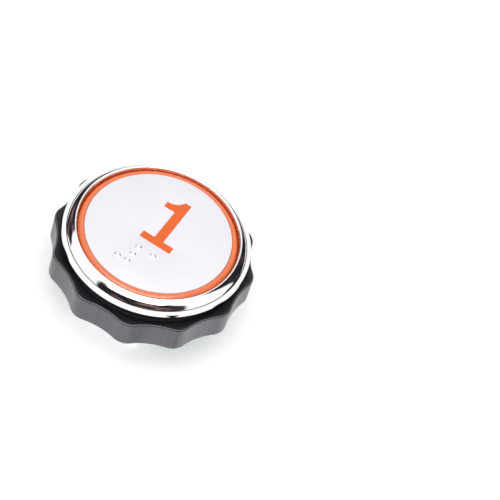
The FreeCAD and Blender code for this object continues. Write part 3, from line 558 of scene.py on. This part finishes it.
def lobe_radius(angle):
    """Distance from the axis to the nut's outline: round lobes joined by hollow arcs."""
    step = math.pi / NUT_LOBES
    inner = NUT_CREST - NUT_LOBE_ROUND
    hollow = ((inner ** 2 + NUT_VALLEY ** 2 - 2 * inner * NUT_VALLEY * math.cos(step)
               - NUT_LOBE_ROUND ** 2)
              / (2 * (NUT_LOBE_ROUND + inner * math.cos(step) - NUT_VALLEY)))
    far = NUT_VALLEY + hollow
    lobe_centre = Vector((inner, 0))
    hollow_centre = Vector((far * math.cos(step), far * math.sin(step)))
    touch = lobe_centre + (hollow_centre - lobe_centre).normalized() * NUT_LOBE_ROUND
    part = abs((angle - NUT_LOBE_ANGLE + step) % (2 * step) - step)
    if part < math.atan2(touch.y, touch.x):
        return inner * math.cos(part) + math.sqrt(
            NUT_LOBE_ROUND ** 2 - (inner * math.sin(part)) ** 2)
    part = step - part
    return far * math.cos(part) - math.sqrt(hollow ** 2 - (far * math.sin(part)) ** 2)


def make_nut():
    """Ring nut: its wall follows the lobes, its bore is round and holds three ridges of thread."""
    edge, bore, ridge_crest, first_ridge = 0.25, 18.75, 18.15, -3.75
    top_mouth, top_dip, rear_mouth, mouth_depth = 19.15, 0.1, 19.1, 0.4
    wall = []
    for step in range(7):
        angle = math.pi / 2 * step / 6
        wall.append((edge * (math.sin(angle) - 1), NUT_BOTTOM + edge * (1 - math.cos(angle))))
    for step in range(1, 12):
        wall.append((0.0, NUT_BOTTOM + edge + (NUT_TOP - NUT_BOTTOM - 2 * edge) * step / 12))
    for step in range(7):
        angle = math.pi / 2 * step / 6
        wall.append((edge * (math.cos(angle) - 1), NUT_TOP - edge * (1 - math.sin(angle))))
    ridges = thread_profile(first_ridge, ridge_crest, bore, count=3, crest_width=0.3, base_width=0.8)
    hole = soften([(top_mouth, NUT_TOP - top_dip, 0.05), (bore, NUT_TOP - mouth_depth, 0.05)]
                  + ridges + [(bore, NUT_BOTTOM + mouth_depth, 0.05),
                              (rear_mouth, NUT_BOTTOM, 0.05)], closed=False)
    profile = [(point.x, point.y, False) for point in hole]
    profile += [(reach, height, True) for reach, height in wall]
    bm = bmesh.new()
    segments = 720
    angles = [TURN * k / segments for k in range(segments)]
    rings = []
    for reach, height, lobed in profile:
        radii = [reach + (lobe_radius(angle) if lobed else 0.0) for angle in angles]
        rings.append([bm.verts.new((radius * math.cos(angle), radius * math.sin(angle), height))
                      for radius, angle in zip(radii, angles)])
    join_rings(bm, rings, closed=True)
    piece = new_piece("nut", bm, NUT_GREY, "nut")
    # Painted shade: the flat faces, most of the edge rounds and the mouth by the bore get the darker
    # copy; the sides keep the nut's own black.
    paint(piece, NUT_FACE_SHADE, lambda r, z, n: abs(n.z) > 0.3 or r < top_mouth + 0.15)
    # Painted highlight: the upper steps of the top edge's round are made lighter.
    paint(piece, NUT_EDGE_HIGHLIGHT,
          lambda r, z, n: n.z < 0.995 and r > top_mouth + 0.15 and z > NUT_TOP - 0.03)
    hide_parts("ring_nut")


# ---- board ----

def cut_away(piece, cutter):
    """Takes the cutter's shape out of a piece and removes the cutter."""
    cut = piece.modifiers.new("cut", "BOOLEAN")
    cut.operation = "DIFFERENCE"
    cut.solver = "EXACT"
    cut.object = cutter
    graph = bpy.context.evaluated_depsgraph_get()
    mesh = bpy.data.meshes.new_from_object(piece.evaluated_get(graph))
    bm = bmesh.new()
    bm.from_mesh(mesh)
    bmesh.ops.remove_doubles(bm, verts=bm.verts, dist=CUT_WELD * MM)
    bmesh.ops.dissolve_degenerate(bm, edges=bm.edges, dist=CUT_WELD * MM)
    bm.to_mesh(mesh)
    bm.free()
    piece.modifiers.clear()
    piece.data = mesh
    mesh.set_sharp_from_angle(angle=math.radians(SMOOTH_ANGLE))
    bpy.data.objects.remove(cutter)


def screw_places():
    """The middles of the three board screws, the first at the bottom."""
    circle = 16.4
    angles = [TURN * number / 3 - math.pi / 2 for number in range(3)]
    return [(circle * math.cos(angle), circle * math.sin(angle)) for angle in angles]


def board_holes():
    """The (x, y, radius) of each hole: for the screws, the switch legs and the header pins."""
    screw_hole, leg_hole, pin_hole, pin_pitch = 1.1, 0.6, 0.5, 2.5
    holes = [(x, y, screw_hole) for x, y in screw_places()]
    holes += [(x, y, leg_hole) for x, y in LEG_PLACES]
    for level in ("upper", "lower"):
        low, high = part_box(f"header_pins_{level}")
        middle = (low + high) / 2 / MM
        holes += [(middle.x + pin_pitch * number, middle.y, pin_hole) for number in range(-2, 3)]
    return holes


def make_board():
    """Green disc with its holes drilled and bare laminate on its edge."""
    edge, overshoot = 0.06, 1
    profile = soften([(0.0, BOARD_REAR), (BOARD_EDGE, BOARD_REAR, edge),
                      (BOARD_EDGE, BOARD_FRONT, edge), (0.0, BOARD_FRONT)], closed=False, steps=3)
    piece = lathe("board", profile, BOARD_GREEN, "housing", "board_green", segments=256)
    start = BOARD_REAR - overshoot
    stop = BOARD_FRONT + overshoot
    bm = bmesh.new()
    for x, y, radius in board_holes():
        lathe_mesh(bm, [(0.0, start), (radius, start), (radius, stop), (0.0, stop)], 32, (x, y))
    cut_away(piece, solid_from("cutter", bm))
    paint(piece, BOARD_EDGE_TAN, lambda r, z, n: abs(n.z) < 0.6)
    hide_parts("circuit_board")


def from_rear(points):
    """Points as seen from behind the board, with its right-hand side at positive x."""
    return [(-x, y) for x, y in points]


def make_traces():
    """Copper runs under the mask, raised a little on the board's rear face."""
    runs = [
        [(-5.0, 7.3), (-5.0, 5.9), (-11.9, 5.9), (-12.9, 4.9), (-13.1, 2.0)],
        [(-5.0, 6.0), (-2.45, 3.6), (-2.45, -2.0), (-3.35, -2.75), (-4.9, -2.75)],
        [(-5.0, -2.6), (-5.0, -9.0)],
        [(2.6, 7.3), (2.6, -9.0)],
        [(2.6, 2.4), (4.9, 2.4)],
        [(7.0, 7.3), (7.0, -9.0)],
        [(-3.6, 12.9), (-3.1, 13.75), (7.2, 13.75), (8.0, 12.9), (8.2, 12.1), (8.95, 11.1),
         (8.95, 5.2), (9.95, 4.2), (12.4, 4.1), (13.3, 3.2), (13.3, 1.8)],
    ]
    width, root, height, step = 0.8, 0.005, 0.040, 0.004
    bm = bmesh.new()
    for number, run in enumerate(runs):
        top = height + step * number
        strip_mesh(bm, from_rear(run), width, BOARD_REAR + root, BOARD_REAR - top)
    new_piece("board_traces", bm, BOARD_TRACE, "housing")


def make_legend():
    """Printed boxes and pin-one marks."""
    low, high, line = BOARD_REAR + 0.002, BOARD_REAR - 0.08, 0.22
    bm = bmesh.new()
    for left, right, top, bottom in ((-16.0, -13.6, 0.1, -2.7), (-11.2, -8.5, 0.1, -2.8),
                                     (9.1, 14.7, -3.9, -7.5)):
        box = [(left, top), (right, top), (right, bottom), (left, bottom)]
        strip_mesh(bm, from_rear(box), line, low, high, closed=True)
    for x, y in ((-9.5, 11.2), (-10.0, -11.4)):
        mark = [(x - 0.25, y + 0.65), (x, y + 1.0), (x, y - 1.0)]
        foot = [(x - 0.35, y - 1.0), (x + 0.35, y - 1.0)]
        strip_mesh(bm, from_rear(mark), line, low, high)
        strip_mesh(bm, from_rear(foot), line, low, high)
    new_piece("board_legend", bm, LEGEND_INK, "housing")


def make_spring():
    """A coil spring whose ends rise less steeply."""
    low, high = (corner.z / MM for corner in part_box("return_spring"))
    wire, radius, turns, travel, easing = 0.3, 8.2, 3.5, 0.5, 0.512
    steps, sides = 280, 10
    rise = high - low - 2 * wire
    bm = bmesh.new()
    rings = []
    for step in range(steps + 1):
        part = step / steps
        eased = part - easing * math.sin(TURN * part) / TURN
        height = low + wire + rise * eased
        angle = TURN * turns * part
        ring = []
        for k in range(sides):
            turn = TURN * k / sides
            reach = radius + wire * math.cos(turn)
            ring.append(bm.verts.new((reach * math.cos(angle), reach * math.sin(angle),
                                      height + wire * math.sin(turn))))
        rings.append(ring)
    join_rings(bm, rings)
    bm.faces.new(rings[0])
    bm.faces.new(rings[-1])
    piece = new_piece("coil_spring", bm, STEEL, "housing", ROUND_SMOOTH_ANGLE)
    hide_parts("return_spring")
    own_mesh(piece)


def make_solder(name, node, places, radius, height):
    """Wetted solder joints: a wide skirt that rises to a rounded top."""
    bm = bmesh.new()
    for place in places:
        profile = [(0.0, BOARD_REAR + 0.02), (radius, BOARD_REAR + 0.02), (radius, BOARD_REAR)]
        for step in range(1, 15):
            part = step / 14
            reach = radius * math.cos(part * math.pi / 2) ** 0.9
            rise = height * (0.25 * part + 0.75 * math.sin(part * math.pi / 2) ** 1.6)
            profile.append((reach if step < 14 else 0.0, BOARD_REAR - rise))
        lathe_mesh(bm, profile, 48, place)
    piece = new_piece(name, bm, SOLDER, "housing", ROUND_SMOOTH_ANGLE)
    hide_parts(node)


def make_screws():
    """Pan-head screws with a cross recess."""
    head, height, rim = 1.65, 1.26, 0.4
    ball = (head ** 2 + (height - rim) ** 2) / (2 * (height - rim))
    crown = []
    for step in range(13):
        reach = head * (1 - step / 12)
        rise = math.sqrt(ball ** 2 - reach ** 2) - (ball - height + rim)
        crown.append((reach, BOARD_REAR - rim - rise))
    length, tip, tip_length, thread = 5.0, 0.3, 0.8, 1.0
    shank = [(0.0, BOARD_REAR + length), (tip, BOARD_REAR + length),
             (thread, BOARD_REAR + length - tip_length), (thread, BOARD_REAR),
             (head, BOARD_REAR)]
    face = BOARD_REAR - height
    first_turn, turn_step, shaded_depth = 0.4, 0.5, 0.35
    for number, place in enumerate(screw_places()):
        piece = lathe(f"screw_{number + 1}", shank + crown, NICKEL, "housing", "screw_metal",
                      segments=64, at=place)
        cut_away(piece, cross_cutter(place, face, first_turn + number * turn_step))
        # Painted shade: the walls deep in the cross recess get the darker metal.
        paint(piece, RECESS_SHADE, lambda r, z, n: (r < CROSS_ARM and abs(n.z) < 0.75
                                                   and z < face + shaded_depth), place)
        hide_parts("board_screws")


def cross_cutter(place, face, turn):
    """A tapered cross that sinks into a screw head from its face."""
    arm, half, depth = CROSS_ARM, 0.26, 0.75
    outline = [(arm, half), (half, half), (half, arm), (-half, arm), (-half, half), (-arm, half),
               (-arm, -half), (-half, -half), (-half, -arm), (half, -arm), (half, -half), (arm, -half)]
    bm = bmesh.new()
    rings = []
    for height, scale in ((face - 0.3, 1.1), (face, 1.0), (face + depth, 0.45)):
        ring = []
        for x, y in outline:
            flat = Matrix.Rotation(turn, 2) @ Vector((x * scale, y * scale))
            ring.append(bm.verts.new((place[0] + flat.x, place[1] + flat.y, height)))
        rings.append(ring)
    join_rings(bm, rings)
    bm.faces.new(rings[0])
    bm.faces.new(rings[-1])
    return solid_from("cutter", bm)


# ---- stage ----

def make_floor(height):
    """White paper. Its underside lets the camera look through, so the rear of the object can be seen."""
    bm = bmesh.new()
    bmesh.ops.create_grid(bm, x_segments=1, y_segments=1, size=FLOOR_HALF_SIDE)
    mesh = bpy.data.meshes.new("floor")
    bm.to_mesh(mesh)
    bm.free()
    floor = bpy.data.objects.new("floor", mesh)
    floor.location.z = height
    floor.visible_glossy = False
    bpy.context.scene.collection.objects.link(floor)
    paper = bpy.data.materials.new("white_paper")
    paper.use_nodes = True
    tree = paper.node_tree
    shader = tree.nodes["Principled BSDF"]
    shader.inputs["Base Color"].default_value = (0.945, 0.91, 0.96, 1)
    shader.inputs["Roughness"].default_value = 0.9
    shader.inputs["Specular IOR Level"].default_value = 0.0
    shader.inputs["Emission Color"].default_value = (1, 1, 1, 1)
    shader.inputs["Emission Strength"].default_value = FLOOR_GLOW
    clear = tree.nodes.new("ShaderNodeBsdfTransparent")
    side = tree.nodes.new("ShaderNodeNewGeometry")
    mix = tree.nodes.new("ShaderNodeMixShader")
    tree.links.new(side.outputs["Backfacing"], mix.inputs["Fac"])
    tree.links.new(shader.outputs["BSDF"], mix.inputs[1])
    tree.links.new(clear.outputs["BSDF"], mix.inputs[2])
    tree.links.new(mix.outputs["Shader"], tree.nodes["Material Output"].inputs["Surface"])
    mesh.materials.append(paper)


def make_light(name, azimuth, elevation, size, power):
    """A square soft light aimed at the object."""
    data = bpy.data.lights.new(name, "AREA")
    data.size = size
    data.energy = power
    obj = bpy.data.objects.new(name, data)
    a = math.radians(azimuth)
    e = math.radians(elevation)
    way = Vector((math.sin(a) * math.cos(e), -math.cos(a) * math.cos(e), math.sin(e)))
    obj.location = way * LIGHT_DISTANCE
    obj.rotation_euler = way.to_track_quat("Z", "Y").to_euler()
    bpy.context.scene.collection.objects.link(obj)
    return obj


class WorldNodes:
    """Arithmetic on the direction that a ray leaves in."""

    def __init__(self, tree):
        self.tree = tree

    def math(self, operation, *values):
        node = self.tree.nodes.new("ShaderNodeMath")
        node.operation = operation
        for socket, value in zip(node.inputs, values):
            if isinstance(value, (int, float)):
                socket.default_value = value
            else:
                self.tree.links.new(value, socket)
        return node.outputs["Value"]

    def within(self, value, centre, reach, blur):
        """1 where value lies within reach of centre, falling to 0 over blur."""
        away = self.math("ABSOLUTE", self.math("SUBTRACT", value, centre))
        node = self.tree.nodes.new("ShaderNodeMapRange")
        node.interpolation_type = "SMOOTHSTEP"
        node.inputs["From Min"].default_value = reach + blur / 2
        node.inputs["From Max"].default_value = reach - blur / 2
        self.tree.links.new(away, node.inputs["Value"])
        return node.outputs["Result"]

    def opening(self, aside, elevation, near, near_slope, far, far_slope):
        """1 between two leaning edges, whose angles at eye level are near and far."""
        inner = self.math("ADD", aside, self.math("MULTIPLY", elevation, near_slope))
        outer = self.math("ADD", aside, self.math("MULTIPLY", elevation, far_slope))
        return self.math("MULTIPLY", self.within(inner, near + 100.0, 100.0, 5.0),
                         self.within(outer, far - 100.0, 100.0, 5.0))


def make_world():
    """A white tent with openings: one low in front and one on each side, dark in reflections only.

    Angles are in degrees from the tent's front. Each opening has its centre, half width and blur.
    """
    world = bpy.data.worlds.new("studio")
    bpy.context.scene.world = world
    world.use_nodes = True
    tree = world.node_tree
    nodes = WorldNodes(tree)
    place = tree.nodes.new("ShaderNodeTexCoord")
    turned = tree.nodes.new("ShaderNodeVectorRotate")
    turned.rotation_type = "Z_AXIS"
    turned.inputs["Angle"].default_value = -math.radians(TENT_AZIMUTH)
    tree.links.new(place.outputs["Generated"], turned.inputs["Vector"])
    parts = tree.nodes.new("ShaderNodeSeparateXYZ")
    tree.links.new(turned.outputs["Vector"], parts.inputs["Vector"])
    backward = nodes.math("MULTIPLY", parts.outputs["Y"], -1.0)
    azimuth = nodes.math("ARCTAN2", parts.outputs["X"], backward)
    azimuth = nodes.math("MULTIPLY", azimuth, 180 / math.pi)
    elevation = nodes.math("ARCSINE", parts.outputs["Z"])
    elevation = nodes.math("MULTIPLY", elevation, 180 / math.pi)

    aside = nodes.math("ABSOLUTE", azimuth)
    bow = nodes.math("MULTIPLY", nodes.math("MULTIPLY", aside, aside), 0.009)
    bow = nodes.math("ADD", bow, nodes.math("MULTIPLY", azimuth, 0.15))
    bowed = nodes.math("ADD", elevation, bow)
    front = nodes.math("MULTIPLY", nodes.within(azimuth, 2.0, 49.0, 6.0),
                       nodes.within(bowed, 9.0, 39.0, 6.0))
    right_side = nodes.opening(azimuth, elevation, 104.0, 0.27, 151.0, 0.7)
    leftward = nodes.math("MULTIPLY", azimuth, -1.0)
    left_side = nodes.opening(leftward, elevation, 92.0, 0.0, 153.0, 0.7)
    above = nodes.math("MAXIMUM", elevation, 0.0)
    leaning = nodes.math("ADD", azimuth, nodes.math("MULTIPLY", above, 0.6))
    left_side = nodes.math("MULTIPLY", left_side, nodes.within(leaning, -196.0, 100.0, 5.0))
    sides = nodes.math("MULTIPLY", nodes.math("MAXIMUM", left_side, right_side),
                       nodes.within(elevation, 3.5, 49.5, 6.0))
    dark = nodes.math("MAXIMUM", front, sides)
    way = tree.nodes.new("ShaderNodeLightPath")
    dark = nodes.math("MULTIPLY", dark, way.outputs["Is Glossy Ray"])

    streaks = tree.nodes.new("ShaderNodeTexNoise")
    streaks.inputs["Scale"].default_value = 3.0
    streaks.inputs["Detail"].default_value = 3.0
    tree.links.new(turned.outputs["Vector"], streaks.inputs["Vector"])
    room = tree.nodes.new("ShaderNodeValToRGB")
    room.color_ramp.elements[0].position = 0.50
    room.color_ramp.elements[0].color = (0.016, 0.017, 0.022, 1)
    room.color_ramp.elements[1].position = 0.70
    room.color_ramp.elements[1].color = (0.26, 0.15, 0.13, 1)
    tree.links.new(streaks.outputs["Fac"], room.inputs["Fac"])
    mix = tree.nodes.new("ShaderNodeMix")
    mix.data_type = "RGBA"
    mix.inputs[6].default_value = (1, 1, 1, 1)
    tree.links.new(dark, mix.inputs[0])
    tree.links.new(room.outputs["Color"], mix.inputs[7])
    background = tree.nodes["Background"]
    tree.links.new(mix.outputs[2], background.inputs["Color"])
    background.inputs["Strength"].default_value = TENT_LEVEL


def make_camera():
    """A long lens, 480 mm from the plate, raised 50 degrees and rolled 19.5 degrees."""
    elevation = math.radians(50.2)
    azimuth = math.radians(15.9)
    roll = 0.340
    aside, above, distance = -18.66 * MM, 3.62 * MM, 480 * MM
    back = Vector((0, -math.cos(elevation), math.sin(elevation)))
    right = Vector((1, 0, 0))
    up = back.cross(right)
    across = right * math.cos(roll) + up * math.sin(roll)
    upward = up * math.cos(roll) - right * math.sin(roll)
    place = -(across * aside + upward * above - back * distance)
    turn = Matrix.Rotation(azimuth, 4, "Z")
    pose = Matrix((across, upward, back)).transposed().to_4x4()
    data = bpy.data.cameras.new("camera")
    data.sensor_width = 36
    data.lens = 169
    data.clip_start = 0.01
    data.clip_end = 10
    obj = bpy.data.objects.new("camera", data)
    obj.matrix_world = (Matrix.Translation((0, 0, PLATE_TOP * MM)) @ turn
                        @ Matrix.Translation(place) @ pose)
    bpy.context.scene.collection.objects.link(obj)
    bpy.context.scene.camera = obj


make_bezel()
make_plate()
make_lens()
make_nut()
make_board()
make_traces()
make_legend()
make_solder("leg_joints", "switch_solder", LEG_PLACES, radius=1.15, height=0.85)
make_solder("lamp_joints", "lamp_feed_solder", LAMP_FEED_PLACES, radius=0.5, height=0.33)
make_screws()
make_spring()

dress("threaded_barrel", BARREL_BLACK)
dress("cap_carrier", CARRIER_WHITE)
for level in ("upper", "lower"):
    # The shrouds' white carries a painted glow.
    dress(f"header_shroud_{level}", NYLON_WHITE_GLOW, 0.08)
    dress(f"header_pins_{level}", TINNED)
    dress(f"header_solder_{level}", SOLDER)
dress("switch_body", SWITCH_BLACK, 0.08)
dress("switch_cover", STEEL)
dress("switch_plunger", PLUNGER_BROWN)
dress("switch_legs", TINNED)
for number in range(4):
    dress(f"lamp_{number + 1}", LAMP_WHITE, 0.06)
for side in ("left", "right"):
    dress(f"resistor_{side}", CERAMIC, 0.05)

make_floor(cad_box[0].z)
make_world()
make_light("key", TENT_AZIMUTH - 40, elevation=68, size=0.28, power=0.25)
fill = make_light("fill", TENT_AZIMUTH + 35, elevation=8, size=0.4, power=0.7)
fill.visible_glossy = False
sheen = make_light("sheen", TENT_AZIMUTH - 4, elevation=62, size=0.6, power=3.2)
sheen.visible_diffuse = False
make_camera()
bpy.context.scene.view_settings.view_transform = "Standard"
